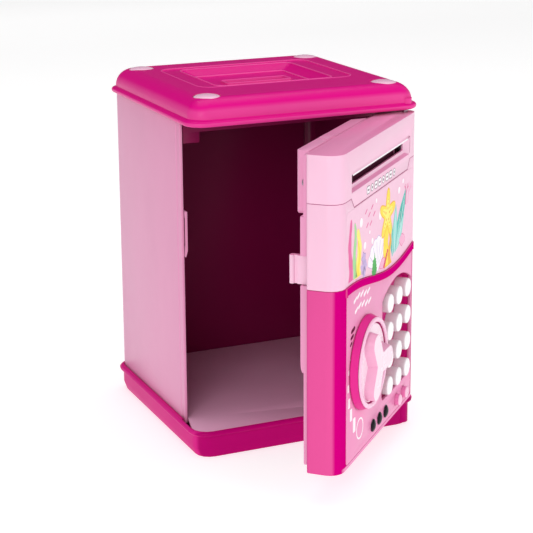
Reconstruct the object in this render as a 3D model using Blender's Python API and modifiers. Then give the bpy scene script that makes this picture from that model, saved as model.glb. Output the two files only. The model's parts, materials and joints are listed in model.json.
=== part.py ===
"""Toy safe coin bank: a moulded box with a lid, a base and a hinged keypad door.

Driving sizes are in millimetres and MM scales them to metres as each mesh is made.
+Z is up, the door side faces -Y, and the origin is the centre of the base's underside.
The door is built shut, under an empty on its hinge axis, and the empty then swings it open.
Door features are placed by their height above the front face and by (x, z) on that face.
"""
import math

import bmesh
import bpy
from mathutils import Euler, Matrix, Vector

MM = 0.001
TURN_STEPS = 20

# Overall box
HEIGHT = 190.0
BEAD_HALF_X = 66.0
BEAD_HALF_Y = 65.0
BODY_HALF_X = 62.8
BODY_BACK = 62.8
BODY_ROUND = 7.0
WALL = 2.0
GAP = 0.3
WALL_FRONT = -40.0

# Base
BASE_BEAD_LOW = 11.4
BASE_TOP = 14.8
FLOOR_LOW = 12.6
FLOOR_TOP = 14.6

# Lid
LID_LOW = 176.4
LID_BEAD_TOP = 179.9
LID_ROUND = 9.5
LID_FLOOR = 185.8
LID_CEILING = 183.6
LID_ROOF = 187.2
FRAME_LOW = 176.7
FRAME_TOP = 178.7
STUD_X = 50.4
STUD_Y = 49.0
COIN_SLOT = (-17.0, 16.0, 0.4, 5.8)

# Door, shut
HINGE = (57.8, -60.0)
DOOR_OPEN_DEG = 44.8
DOOR_X = (-62.2, 62.8)
DOOR_Y = (-65.0, -47.7)
DOOR_Z = (15.8, 174.8)
DOOR_SKIN_Y = -62.0
PIN_RADIUS = 1.5
PIN_HOLE = 1.8

# Door front
PARTING_SIDE = 151.3
PARTING_TAB = 146.2
RIM_WIDTH = 3.8
RIM_X = (-54.1, 57.9)
PANEL_X = (-52.6, 57.2)
PANEL_LOW = 17.9
PANEL_DEPTH = 1.8
NOTE_SLOT = (-42.0, 44.0, 156.9, 161.4)
KEYPAD_X = (4.8, 56.3)
KEYPAD_Z = (31.0, 85.5)
KEYPAD_ARCH = 7.0
KEY_RADIUS = 5.0
KEY_COLUMNS = (14.9, 30.5, 46.1)
KEY_ROWS = (81.9, 66.9, 51.9, 36.9)
TRAY_FLOOR = -5.0
DIAL = (-24.7, 63.0)
LENSES = ((-9.8, 23.6), (0.9, 23.6), (11.8, 23.6))
BUTTONS = ((31.0, 23.5), (43.4, 23.5))

# Door inside
COVER_X = (-59.2, 59.6)
COVER_Y = (-47.3, -45.4)
SCREW_SPOTS = ((-52.0, 24.0), (52.0, 24.0), (-56.2, 160.0), (54.4, 169.0))
SPEAKER = (30.0, 118.0)
ROLLER_Y = -54.5
FEED_Z = 163.9
PINCH_Z = 154.6
MOTOR_Z = 143.5
LATCH_Z = (110.3, 124.4)
LATCH_TRAVEL = 2.2
CAM_RADIUS = 22.2
CAM_Y = (-52.0, -49.8)
THROUGH_COVER = (-50.0, -36.0)
LATCH_REAR = -43.8
FEED_REAR = -39.8

for old in list(bpy.data.objects):
    bpy.data.objects.remove(old)

scene = bpy.context.scene
bank = bpy.data.collections.new("toy_safe_coin_bank")
cutters = bpy.data.collections.new("cutters")
scene.collection.children.link(bank)
scene.collection.children.link(cutters)


def plastic(name, red, green, blue, roughness=0.32, metallic=0.0):
    """A moulded material of one colour, given as 0-255 values."""
    material = bpy.data.materials.new(name)
    material.use_nodes = True
    shader = material.node_tree.nodes["Principled BSDF"]
    linear = [(value / 255.0) ** 2.2 for value in (red, green, blue)]
    shader.inputs["Base Color"].default_value = (*linear, 1.0)
    shader.inputs["Roughness"].default_value = roughness
    shader.inputs["Metallic"].default_value = metallic
    material.diffuse_color = (*linear, 1.0)
    return material


MAGENTA = plastic("magenta_plastic", 222, 30, 140)
DEEP_MAGENTA = plastic("deep_magenta_plastic", 130, 20, 80)
LIGHT_PINK = plastic("light_pink_plastic", 236, 176, 208)
PANEL_PINK = plastic("panel_pink_plastic", 244, 158, 200)
PALE_PINK = plastic("pale_pink_plastic", 248, 200, 224)
LABEL = plastic("printed_label", 246, 206, 226, 0.45)
WHITE = plastic("white_plastic", 238, 234, 238)
BLACK = plastic("black_plastic", 38, 34, 42, 0.2)
STEEL = plastic("steel", 190, 190, 195, 0.3, 1.0)
BOARD = plastic("green_board", 30, 110, 60, 0.5)
RUBBER = plastic("grey_rubber", 90, 90, 95, 0.7)


# ---------------------------------------------------------------- shape helpers

def rounded_box(x_low, x_high, y_low, y_high, radii, steps=4):
    """Outline of a box with corners of the given radii, counter-clockwise from low x, low y."""
    if not isinstance(radii, tuple):
        radii = (radii,) * 4
    corners = ((x_low, y_low, 1, 1, 180), (x_high, y_low, -1, 1, 270),
               (x_high, y_high, -1, -1, 0), (x_low, y_high, 1, -1, 90))
    points = []
    for (x, y, side_x, side_y, start), radius in zip(corners, radii):
        centre = (x + side_x * radius, y + side_y * radius)
        for step in range(steps + 1):
            angle = math.radians(start + 90.0 * step / steps)
            points.append((centre[0] + radius * math.cos(angle), centre[1] + radius * math.sin(angle)))
    return points


def circle(x, y, radius, count=16):
    """Points of a circle, counter-clockwise."""
    turns = [2.0 * math.pi * index / count for index in range(count)]
    return [(x + radius * math.cos(turn), y + radius * math.sin(turn)) for turn in turns]


def facing(letter):
    """Turn of a flat XY outline so that its normal lies along X, Y or Z."""
    if letter == "Y":
        return Matrix(((1, 0, 0, 0), (0, 0, -1, 0), (0, 1, 0, 0), (0, 0, 0, 1)))
    if letter == "X":
        return Matrix(((0, 0, 1, 0), (1, 0, 0, 0), (0, 1, 0, 0), (0, 0, 0, 1)))
    return Matrix.Identity(4)


def plate(name, outline, low, high, letter="Z", holes=()):
    """Flat outline with holes, filled and made as thick as low to high along one axis."""
    data = bpy.data.curves.new(name + "_outline", "CURVE")
    data.dimensions = "2D"
    data.fill_mode = "BOTH"
    data.extrude = 0.5 * (high - low) * MM
    for loop in (outline, *holes):
        spline = data.splines.new("POLY")
        spline.points.add(len(loop) - 1)
        for point, (first, second) in zip(spline.points, loop):
            point.co = (first * MM, second * MM, 0.0, 1.0)
        spline.use_cyclic_u = True
    curve = bpy.data.objects.new(name + "_outline", data)
    scene.collection.objects.link(curve)
    bpy.context.view_layer.update()
    flat = curve.evaluated_get(bpy.context.evaluated_depsgraph_get())
    mesh = bpy.data.meshes.new_from_object(flat)
    middle = 0.5 * (low + high) * MM
    normal = Vector([1.0 if axis == letter else 0.0 for axis in "XYZ"])
    mesh.transform(Matrix.Translation(normal * middle) @ facing(letter))
    bpy.data.objects.remove(curve)
    return weld(name, mesh)


def weld(name, mesh):
    """Joins the caps of a curve's mesh to its sides and links it as an object."""
    work = bmesh.new()
    work.from_mesh(mesh)
    bmesh.ops.remove_doubles(work, verts=work.verts, dist=0.00001)
    bmesh.ops.recalc_face_normals(work, faces=work.faces)
    work.to_mesh(mesh)
    work.free()
    return link(name, mesh)


def link(name, mesh):
    """Links a mesh as an object in the bank's collection."""
    mesh.name = name
    item = bpy.data.objects.new(name, mesh)
    bank.objects.link(item)
    return item


def loft(name, rings):
    """Closed body through rounded boxes (z, x low, x high, y low, y high, corner radius)."""
    work = bmesh.new()
    loops = []
    for z, x_low, x_high, y_low, y_high, radius in rings:
        outline = rounded_box(x_low, x_high, y_low, y_high, radius)
        loops.append([work.verts.new((x * MM, y * MM, z * MM)) for x, y in outline])
    for lower, upper in zip(loops, loops[1:]):
        for index in range(len(lower)):
            work.faces.new((lower[index - 1], lower[index], upper[index], upper[index - 1]))
    work.faces.new(list(reversed(loops[0])))
    work.faces.new(loops[-1])
    bmesh.ops.recalc_face_normals(work, faces=work.faces)
    mesh = bpy.data.meshes.new(name)
    work.to_mesh(mesh)
    work.free()
    return link(name, mesh)


def centred(z, half_x, half_y, radius):
    """A loft ring centred on the origin."""
    return (z, -half_x, half_x, -half_y, half_y, radius)


def turned(name, profile, place=(0.0, 0.0, 0.0), turn=(0.0, 0.0, 0.0), ring=False, steps=TURN_STEPS):
    """Turned piece: (radius, height) points down its outer side, spun about its own Z."""
    work = bmesh.new()
    verts = [work.verts.new((radius * MM, 0.0, height * MM)) for radius, height in profile]
    for first, second in zip(verts, verts[1:]):
        work.edges.new((first, second))
    if ring:
        work.edges.new((verts[-1], verts[0]))
    mesh = bpy.data.meshes.new(name)
    work.to_mesh(mesh)
    work.free()
    item = link(name, mesh)
    spin = item.modifiers.new("spin", "SCREW")
    spin.axis = "Z"
    spin.steps = steps
    spin.render_steps = steps
    spin.use_merge_vertices = True
    spin.merge_threshold = 0.00001
    item.location = [value * MM for value in place]
    item.rotation_euler = [math.radians(value) for value in turn]
    return item


def on_door(name, spot, profile, ring=False, steps=TURN_STEPS):
    """Turned piece on the door: heights stand above the front face, towards -Y."""
    place = (spot[0], DOOR_Y[0], spot[1])
    return turned(name, profile, place, (90.0, 0.0, 0.0), ring, steps)


def front_plate(name, outline, low, high, holes=()):
    """Plate parallel to the door's front, from a low to a high height above that face."""
    return plate(name, outline, DOOR_Y[0] - high, DOOR_Y[0] - low, "Y", holes)


def rod(name, radius, low, high, place, letter="Z", steps=TURN_STEPS):
    """Plain round bar along one axis, from low to high."""
    across = {"X": (0.0, 90.0, 0.0), "Y": (-90.0, 0.0, 0.0), "Z": (0.0, 0.0, 0.0)}[letter]
    profile = ((0.0, high), (radius, high), (radius, low), (0.0, low))
    return turned(name, profile, place, across, steps=steps)


def as_tool(tool):
    """Moves a piece to the cutters, where it only shapes other pieces."""
    bank.objects.unlink(tool)
    cutters.objects.link(tool)
    tool.hide_render = True
    tool.display_type = "WIRE"
    return tool


def shape(item, operation, *tools):
    """Applies one Boolean for each tool."""
    for tool in tools:
        step = item.modifiers.new(operation.lower(), "BOOLEAN")
        step.operation = operation
        step.solver = "EXACT"
        step.object = as_tool(tool)
    return item


def cut(item, *tools):
    return shape(item, "DIFFERENCE", *tools)


def join(item, *tools):
    return shape(item, "UNION", *tools)


def soften(item, width, segments=2, angle=40.0):
    """Rounds the sharp edges of a piece."""
    bevel = item.modifiers.new("round", "BEVEL")
    bevel.width = width * MM
    bevel.segments = segments
    bevel.limit_method = "ANGLE"
    bevel.angle_limit = math.radians(angle)
    return item


def finish(item, material, parent=None):
    """Gives a piece its material and parent, and shades it smooth up to 35 degrees."""
    item.data.materials.clear()
    item.data.materials.append(material)
    item.data.shade_smooth()
    item.data.set_sharp_from_angle(angle=math.radians(35.0))
    if parent is not None:
        hang(item, parent)
        for step in item.modifiers:
            if step.type == "BOOLEAN":
                hang(step.object, parent)
    return item


def hang(item, parent):
    """Parents an object and keeps its place."""
    if item.parent is None:
        item.parent = parent
        item.matrix_parent_inverse = parent.matrix_world.inverted()


def pivot(name, place, parent=None):
    """Empty that stands on a joint's axis."""
    empty = bpy.data.objects.new(name, None)
    bank.objects.link(empty)
    empty.empty_display_size = 10 * MM
    empty.location = [value * MM for value in place]
    bpy.context.view_layer.update()
    if parent is not None:
        hang(empty, parent)
    bpy.context.view_layer.update()
    return empty


# ---------------------------------------------------------------- base and body

def corner_spots():
    return [(side_x * STUD_X, side_y * STUD_Y) for side_y in (-1, 1) for side_x in (-1, 1)]


def make_base():
    """Base tray with a bead round its top, screw posts and a socket for the lower hinge pin."""
    neck_x, neck_y = BEAD_HALF_X - 2.0, BEAD_HALF_Y - 2.0
    base = loft("base_tray", (
        centred(0.0, neck_x - 1.8, neck_y - 0.6, 8.0),
        centred(1.2, neck_x - 1.2, neck_y - 0.3, 8.6),
        centred(4.6, neck_x, neck_y, 9.0),
        centred(BASE_BEAD_LOW, neck_x, neck_y, 9.0),
        centred(BASE_BEAD_LOW + 0.6, BEAD_HALF_X - 0.6, BEAD_HALF_Y - 0.6, 10.0),
        centred(BASE_BEAD_LOW + 1.5, BEAD_HALF_X, BEAD_HALF_Y, 10.4),
        centred(BASE_TOP - 0.8, BEAD_HALF_X - 0.2, BEAD_HALF_Y - 0.2, 10.2),
        centred(BASE_TOP, BEAD_HALF_X - 1.1, BEAD_HALF_Y - 1.1, 9.4),
        centred(BASE_TOP, 63.1, 63.1, BODY_ROUND + GAP),
        centred(11.7, 63.1, 63.1, BODY_ROUND + GAP),
        centred(11.7, 61.6, 61.0, BODY_ROUND),
        centred(WALL, 61.6, 61.0, BODY_ROUND)))
    apron = rounded_box(-64.3, 64.3, -63.4, WALL_FRONT, (8.7, 8.7, 0.5, 0.5))
    cut(base, plate("base_apron_cutter", apron, 12.3, 20.0))
    for index, (x, y) in enumerate(corner_spots()):
        join(base, rod(f"base_post_{index}", 3.6, 1.0, 12.2, (x, y, 0.0), steps=12))
        cut(base, rod(f"base_bore_{index}", 1.7, -1.0, 12.0 + GAP, (x, y, 0.0), steps=12))
        cut(base, rod(f"base_recess_{index}", 3.0, -1.0, 3.4, (x, y, 0.0), steps=16))
    join(base, rod("pin_socket", 3.6, 1.0, 12.2, (*HINGE, 0.0), steps=12))
    cut(base, rod("pin_socket_bore", PIN_HOLE, 7.0, 20.0, (*HINGE, 0.0), steps=16))
    finish(base, MAGENTA)


def make_floor():
    """Floor of the money space, wider in front where the door passes over it."""
    left, right = -60.4, 60.4
    front = rounded_box(-64.0, 64.0, -63.1, WALL_FRONT - 0.4, (8.4, 8.4, 0.3, 0.3))
    rear = rounded_box(left, right, -50.0, 60.4, (0.5, 0.5, 5.2, 5.2), steps=3)
    outline = front[:10] + [(right, WALL_FRONT - 0.4)] + rear[8:16] + [(left, WALL_FRONT - 0.4)]
    floor = plate("floor_panel", outline, FLOOR_LOW, FLOOR_TOP)
    cut(floor, rod("floor_pin_bore", PIN_HOLE, 5.0, 20.0, (*HINGE, 0.0), steps=16))
    finish(floor, LIGHT_PINK)


def make_base_screws():
    for index, (x, y) in enumerate(corner_spots()):
        screw = turned(f"base_screw_{index + 1}", (
            (0.0, 11.6), (1.3, 11.2), (1.3, 2.9), (2.7, 2.4), (2.7, 1.2), (0.0, 0.9)),
            (x, y, 0.6), steps=10)
        finish(screw, STEEL)


def side_outline(side):
    """Plan of a side wall: a shallow step near its front edge and a corner that turns to the back."""
    outer, inner, stepped = BODY_HALF_X, BODY_HALF_X - WALL, BODY_HALF_X - 0.4
    points = [(inner, WALL_FRONT), (stepped - 0.3, WALL_FRONT), (stepped, WALL_FRONT + 0.3),
              (stepped, -35.7), (outer, -35.3)]
    round_out = rounded_box(0.0, outer, 0.0, BODY_BACK, BODY_ROUND)[10:15]
    round_in = rounded_box(0.0, inner, 0.0, BODY_BACK - WALL, BODY_ROUND - WALL)[10:15]
    points += round_out + list(reversed(round_in))
    return [(side * x, y) for x, y in points]


def make_walls():
    for name, side in (("left_side_panel", -1), ("right_side_panel", 1)):
        wall = plate(name, side_outline(side), 12.0, LID_LOW - GAP)
        finish(wall, LIGHT_PINK)
    half = BODY_HALF_X - BODY_ROUND - GAP
    back = plate("back_panel", rounded_box(-half, half, 12.0, LID_LOW - GAP, 1.0, steps=2),
                 BODY_BACK - WALL, BODY_BACK - 0.1, "Y")
    field = rounded_box(-46.0, 46.0, 30.0, 160.0, 8.0)
    cut(back, plate("back_field_cutter", field, BODY_BACK - 0.8, BODY_BACK + 2.0, "Y"))
    finish(back, DEEP_MAGENTA)
    keeper = plate("strike_keeper", ((-60.4, 104.0), (-59.3, 107.5), (-59.3, 128.5), (-60.4, 128.5)),
                   -41.3, -30.0, "Y")
    window = rounded_box(-63.0, -58.0, 109.6, 125.0, 0.2, steps=1)
    cut(keeper, plate("keeper_window", window, -40.4, -36.9, "Y"))
    finish(keeper, LIGHT_PINK)


# ---------------------------------------------------------------- lid

def lid_rings():
    side_x, side_y = BEAD_HALF_X - 2.2, BEAD_HALF_Y - 2.2
    rings = [(LID_CEILING, -34.4, 33.6, -24.6, 34.8, 4.0), (LID_ROOF, -35.0, 34.2, -25.2, 35.4, 4.4),
             centred(LID_ROOF, 55.6, 54.6, 5.0), centred(LID_ROOF - 4.0, 60.6, 59.6, 7.0),
             centred(LID_LOW, 61.6, 60.6, 8.0), centred(LID_LOW, BEAD_HALF_X - 1.0, BEAD_HALF_Y - 1.0, 9.4),
             centred(LID_LOW + 0.8, BEAD_HALF_X, BEAD_HALF_Y, 10.4),
             centred(LID_LOW + 2.2, BEAD_HALF_X, BEAD_HALF_Y, 10.4),
             centred(LID_BEAD_TOP - 0.5, BEAD_HALF_X - 0.9, BEAD_HALF_Y - 0.9, 9.8),
             centred(LID_BEAD_TOP, side_x, side_y, 9.2)]
    for step in range(6):
        angle = math.radians(18.0 * step)
        inset = LID_ROUND * (1.0 - math.cos(angle))
        height = HEIGHT - LID_ROUND + LID_ROUND * math.sin(angle)
        rings.append(centred(height, side_x - inset, side_y - inset, 9.2 - 0.6 * inset))
    rings += [(HEIGHT, -45.4, 45.4, -29.6, 44.1, 8.0), (HEIGHT - 0.7, -44.7, 44.7, -28.9, 43.4, 7.4),
              (HEIGHT - 0.7, -33.2, 32.4, -23.4, 33.6, 4.4), (LID_FLOOR, -32.4, 31.6, -22.6, 32.8, 3.8)]
    return rings


def make_lid():
    """Lid with a sunk tray round the coin slot and a pocket in each corner for a stud cap."""
    lid = loft("lid", lid_rings())
    for index, (x, y) in enumerate(corner_spots()):
        join(lid, rod(f"lid_pad_{index}", 8.6, 181.6, 187.2, (x, y, 0.0)))
        cut(lid, rod(f"lid_pocket_{index}", 7.3, 185.2, 195.0, (x, y, 0.0)))
    join(lid, rod("lid_pin_boss", 3.4, LID_LOW + 0.1, 182.4, (*HINGE, 0.0), steps=14))
    cut(lid, rod("lid_pin_bore", PIN_HOLE, 170.0, 181.4, (*HINGE, 0.0), steps=16))
    slot = rounded_box(*COIN_SLOT, 0.8, steps=2)
    cut(lid, plate("coin_slot_cutter", slot, 180.0, 195.0))
    finish(lid, MAGENTA)
    for index, (x, y) in enumerate(corner_spots()):
        cap = turned(f"stud_cap_{index + 1}", (
            (0.0, HEIGHT + 0.7), (4.6, HEIGHT + 0.5), (6.3, HEIGHT - 0.1), (7.0, HEIGHT - 0.9),
            (7.0, HEIGHT - 4.5), (0.0, HEIGHT - 4.5)), (x, y, 0.0), steps=18)
        finish(cap, PALE_PINK)


def make_top_frame():
    """Frame that closes the lid from below, clears the hinge boss and hangs the front lintel."""
    frame = plate("top_frame", rounded_box(-61.2, 61.2, -60.2, 60.2, 7.6), FRAME_LOW, FRAME_TOP,
                  holes=[rounded_box(-24.0, 23.0, -6.0, 12.0, 2.0, steps=2)])
    join(frame, plate("lintel", rounded_box(-60.4, 60.4, -39.4, -37.6, 0.3, steps=1), 169.6, 177.5))
    for side in (-1, 1):
        block = rounded_box(*sorted((side * 60.4, side * 50.5)), -38.9, -32.0, 1.0, steps=2)
        join(frame, plate(f"lintel_block_{side + 1}", block, 164.0, 177.5))
    cut(frame, rod("frame_pin_room", 3.8, 170.0, 183.0, (*HINGE, 0.0), steps=16))
    finish(frame, DEEP_MAGENTA)


# ---------------------------------------------------------------- door outlines

def wave(x):
    """Height of the top of the rim that sweeps across the door's front."""
    along = x - DOOR_X[0]
    if along < 12.0:
        return 109.0
    if along < 84.0:
        return 104.7 + 4.3 * math.cos(math.pi * (along - 12.0) / 72.0)
    return 100.4 + 4.9 * (1.0 - math.cos(0.5 * math.pi * (along - 84.0) / 41.0))


def wave_line(x_low, x_high, drop, count=18):
    """Points of the rim's top from high x to low x, dropped by some height."""
    steps = [x_high + (x_low - x_high) * index / count for index in range(count + 1)]
    return [(x, wave(x) - drop) for x in steps]


def tab_line(drop):
    """The line where the top fascia ends, with its tab below the note slot, from low x to high x."""
    left = DOOR_X[0]
    return [(left - 5.0, PARTING_SIDE - drop), (left + 15.6, PARTING_SIDE - drop),
            (left + 20.0, PARTING_TAB - drop), (left + 109.0, PARTING_TAB - drop),
            (left + 112.5, PARTING_SIDE - drop), (DOOR_X[1] + 5.0, PARTING_SIDE - drop)]


def keypad_outline(grow=0.0):
    """Keypad opening: straight sides, an arched top and small lower corners."""
    left, right = KEYPAD_X[0] - grow, KEYPAD_X[1] + grow
    middle, half = 0.5 * (left + right), 0.5 * (right - left)
    lower = rounded_box(left, right, KEYPAD_Z[0] - grow, KEYPAD_Z[1], 3.0, steps=3)[:8]
    arch = []
    for step in range(11):
        x = right - 2.0 * half * step / 10
        arch.append((x, KEYPAD_Z[1] + grow + KEYPAD_ARCH * (1.0 - ((x - middle) / half) ** 2)))
    return lower + arch


def panel_outline(grow=0.0):
    """Control panel: square lower edge, top parallel to the rim."""
    lower = rounded_box(PANEL_X[0] - grow, PANEL_X[1] + grow, PANEL_LOW - grow, 60.0, 2.0, steps=3)[:8]
    return lower + wave_line(PANEL_X[0] - grow, PANEL_X[1] + grow, RIM_WIDTH + GAP - grow)


def knob_outline(count=42):
    """Three rounded lobes, the first towards the hinge."""
    points = []
    for index in range(count):
        turn = 2.0 * math.pi * index / count
        reach = 9.4 + 8.0 * (0.5 + 0.5 * math.cos(3.0 * turn)) ** 1.3
        points.append((DIAL[0] + reach * math.cos(turn), DIAL[1] + reach * math.sin(turn)))
    return points


# ---------------------------------------------------------------- door shells

def door_box(name):
    """The whole door casing, open at the back, before it is split into its three shells."""
    plan = rounded_box(*DOOR_X, *DOOR_Y, (7.5, 5.0, 1.5, 1.5))
    casing = soften(plate(name, plan, *DOOR_Z), 1.0, 2, 60.0)
    hollow = rounded_box(DOOR_X[0] + WALL, DOOR_X[1] - WALL, DOOR_SKIN_Y, -40.0,
                         (4.0, 1.0, 1.0, 1.0), steps=3)
    return cut(casing, plate(name + "_hollow", hollow, DOOR_Z[0] + WALL, DOOR_Z[1] - WALL))


def keep_between(shell, name, outline):
    """Keeps only the slice of the casing inside an outline seen from the front."""
    return shape(shell, "INTERSECT", plate(name, outline, -72.0, -44.0, "Y"))


def screw_post(shell, index):
    x, z = SCREW_SPOTS[index]
    join(shell, front_plate(f"screw_post_{index}", circle(x, z, 3.0, 12), -17.2, -2.6))
    cut(shell, front_plate(f"screw_post_bore_{index}", circle(x, z, 1.5, 10), -18.0, -5.0))


def pin_boss(shell, low, high, tag):
    join(shell, rod(f"pin_boss_{tag}", 3.0, low, high, (57.6, -59.8, 0.0), steps=14))
    cut(shell, rod(f"pin_bore_{tag}", PIN_HOLE, low - 4.0, high + 4.0, (*HINGE, 0.0), steps=16))


def make_top_fascia(door):
    """Upper shell of the door, with the sunk banknote slot."""
    shell = door_box("door_top_fascia")
    left, right = DOOR_X[0] - 5.0, DOOR_X[1] + 5.0
    keep_between(shell, "top_slice", tab_line(-0.15) + [(right, 190.0), (left, 190.0)])
    cut(shell, note_recess())
    low_x, high_x, low_z, high_z = NOTE_SLOT
    slot = rounded_box(low_x, high_x, low_z, high_z, 0.6, steps=1)
    cut(shell, front_plate("note_slot_cutter", slot, -8.0, 4.0))
    screw_post(shell, 2)
    screw_post(shell, 3)
    pin_boss(shell, 165.5, DOOR_Z[1] - 1.0, "top")
    finish(shell, LIGHT_PINK, door)


def note_recess():
    """Tapered cutter for the recess round the note slot, 1.9 deep."""
    recess = plate("note_recess_cutter", ((-46.2, 153.6), (50.3, 153.6), (50.3, 164.4), (-46.2, 164.4)),
                   DOOR_Y[0] - 0.6, DOOR_Y[0] + 1.9, "Y")
    for vertex in recess.data.vertices:
        if vertex.co.y > DOOR_Y[0] * MM:
            vertex.co.x += (1.0 if vertex.co.x < 0 else -4.0) * MM
            vertex.co.z += (1.4 if vertex.co.z < 0.159 else -1.6) * MM
    return recess


def make_middle_fascia(door):
    """Middle shell of the door, with the printed label let into its front."""
    shell = door_box("door_middle_fascia")
    left, right = DOOR_X[0] - 5.0, DOOR_X[1] + 5.0
    upper = list(reversed(tab_line(0.15)))
    lower = list(reversed(wave_line(left, right, -0.15, 24)))
    keep_between(shell, "middle_slice", upper + lower)
    cut(shell, front_plate("label_pocket", label_outline(GAP), -0.7, 3.0))
    finish(shell, LIGHT_PINK, door)
    finish(front_plate("picture_label", label_outline(0.0), -0.4, 0.0), LABEL, door)


def label_outline(grow):
    left, right = -53.4 - grow, 56.4 + grow
    upper = rounded_box(left, right, 120.0, 145.3 + grow, 2.4, steps=3)[8:]
    lower = list(reversed(wave_line(left, right, grow - 1.2, 16)))
    return upper + lower


def make_lower_shell(door):
    """Lower shell of the door: raised rim, pocket for the control panel and openings behind it."""
    shell = door_box("door_lower_shell")
    left, right = DOOR_X[0] - 5.0, DOOR_X[1] + 5.0
    keep_between(shell, "lower_slice", [(left, 5.0), (right, 5.0)] + wave_line(left, right, 0.15, 24))
    rim = wave_line(*RIM_X, 0.15, 20) + list(reversed(wave_line(*RIM_X, RIM_WIDTH + 0.7, 20)))
    join(shell, front_plate("rim", rim, -2.4, 0.8))
    cut(shell, front_plate("panel_pocket", panel_outline(GAP), -PANEL_DEPTH, 3.0))
    cut(shell, front_plate("keypad_window", keypad_outline(1.5), -6.0, 3.0))
    cut(shell, front_plate("dial_bore", circle(*DIAL, 3.5), -6.0, 3.0))
    for index, spot in enumerate(BUTTONS):
        cut(shell, front_plate(f"button_bore_{index}", circle(*spot, 3.5), -6.0, 3.0))
    for index, spot in enumerate(LENSES):
        cut(shell, front_plate(f"lens_bore_{index}", circle(*spot, 2.0, 10), -6.0, 3.0))
    screw_post(shell, 0)
    screw_post(shell, 1)
    pin_boss(shell, DOOR_Z[0] + 1.0, 24.0, "low")
    finish(shell, MAGENTA, door)


# ---------------------------------------------------------------- control panel

def make_control_panel(door):
    holes = [keypad_outline(), circle(*DIAL, 3.5)]
    holes += [circle(*spot, 3.5) for spot in BUTTONS]
    holes += [circle(*spot, 2.0, 10) for spot in LENSES]
    finish(front_plate("control_panel", panel_outline(), -1.5, 0.0, holes), PANEL_PINK, door)


def make_keypad(door):
    """Keypad tray with its rim, twelve keys, the rubber key mat and the board behind it."""
    tray = front_plate("keypad_tray", keypad_outline(1.1), TRAY_FLOOR - 1.2, -PANEL_DEPTH)
    cut(tray, front_plate("tray_hollow", keypad_outline(0.1), TRAY_FLOOR, 3.0))
    for row, z in enumerate(KEY_ROWS):
        for column, x in enumerate(KEY_COLUMNS):
            bore = circle(x, z, KEY_RADIUS + GAP + 0.1, 14)
            cut(tray, front_plate(f"key_bore_{row}_{column}", bore, -10.0, -4.0))
            key = on_door(f"key_{row + 1}_{column + 1}", (x, z), (
                (0.0, 1.8), (4.3, 1.8), (KEY_RADIUS, 1.2), (KEY_RADIUS, -6.5), (6.0, -6.5),
                (6.0, -7.4), (0.0, -7.4)), steps=14)
            finish(key, WHITE, door)
    finish(tray, MAGENTA, door)
    mat = rounded_box(3.0, 57.6, 30.0, 92.0, 2.0, steps=2)
    finish(front_plate("key_mat", mat, -10.4, -9.4), RUBBER, door)
    board = rounded_box(-3.0, 58.6, 30.0, 98.0, 1.0, steps=1)
    finish(front_plate("circuit_board", board, -12.3, -10.7), BOARD, door)


def make_dial(door):
    """Bezel, trim ring and three-lobed knob, with the cam that drives the latch."""
    bezel = ((20.6, 4.2), (22.9, 4.2), (24.2, 0.3), (20.6, 0.3))
    finish(on_door("dial_bezel", DIAL, bezel, True, 32), MAGENTA, door)
    ring = ((20.5, 5.1), (21.0, 5.5), (22.3, 5.5), (22.9, 5.0), (22.9, 4.5), (20.5, 4.5))
    finish(on_door("dial_ring", DIAL, ring, True, 32), PALE_PINK, door)
    knob = on_door("dial_knob", DIAL, (
        (0.0, 2.6), (19.6, 2.6), (20.1, 2.1), (20.1, 0.4), (3.0, 0.4), (3.0, -15.2), (0.0, -15.2)), steps=32)
    join(knob, soften(front_plate("knob_lobes", knob_outline(), 1.6, 9.6), 1.2, 2, 50.0))
    finish(knob, PALE_PINK, door)
    cam = plate("latch_cam", circle(DIAL[0] + LATCH_TRAVEL, DIAL[1], CAM_RADIUS, 32), *CAM_Y, "Y",
                [circle(*DIAL, 3.3)])
    finish(cam, WHITE, door)


def make_buttons(door):
    for index, spot in enumerate(BUTTONS):
        button = on_door(f"function_button_{index + 1}", spot, (
            (0.0, 2.9), (2.4, 2.8), (3.1, 2.2), (3.1, -3.3), (4.3, -3.3), (4.3, -4.2), (0.0, -4.2)), steps=14)
        finish(button, PANEL_PINK, door)
    for index, spot in enumerate(LENSES):
        lens = on_door(f"indicator_lens_{index + 1}", spot, (
            (0.0, 1.6), (1.6, 1.4), (2.8, 0.9), (3.4, 0.3), (1.7, 0.3), (1.7, -4.6), (0.0, -4.6)), steps=12)
        finish(lens, BLACK, door)


# ---------------------------------------------------------------- door inside

def add_feed_housing(cover):
    """Raised box behind the note feed: slanted at the hinge end, one round corner, a rib on top."""
    left, low, round_off = -53.3, 143.0, 5.0
    plan = ((left, -46.0), (34.5, -46.0), (28.0, FEED_REAR), (left + 1.5, FEED_REAR), (left, FEED_REAR - 1.5))
    join(cover, plate("feed_housing", plan, low, 174.6))
    rib = ((-27.0, -45.9), (-14.0, -45.9), (-14.0, -41.0), (-25.0, -41.0))
    join(cover, plate("feed_rib", rib, 173.5, 175.4))
    corner = [(left - 1.0, low + round_off), (left - 1.0, low - 1.0), (left + round_off, low - 1.0)]
    for step in range(5):
        turn = math.radians(270.0 - 22.5 * step)
        corner.append((left + round_off * (1.0 + math.cos(turn)), low + round_off * (1.0 + math.sin(turn))))
    cut(cover, plate("feed_corner", corner, LATCH_REAR + 0.1, FEED_REAR + 1.0, "Y"))
    hollow_out(cover, "feed_space", (-51.5, 26.5, 144.6, 172.6), FEED_REAR - 1.8)


def hollow_out(cover, name, box, rear):
    """Opens a housing from the front, up to its rear wall."""
    cut(cover, plate(name, rounded_box(*box, 1.0, steps=1), THROUGH_COVER[0], rear, "Y"))


def pierce(cover, name, outline):
    """Cuts an outline right through the rear cover."""
    cut(cover, plate(name, outline, *THROUGH_COVER, "Y"))


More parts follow.
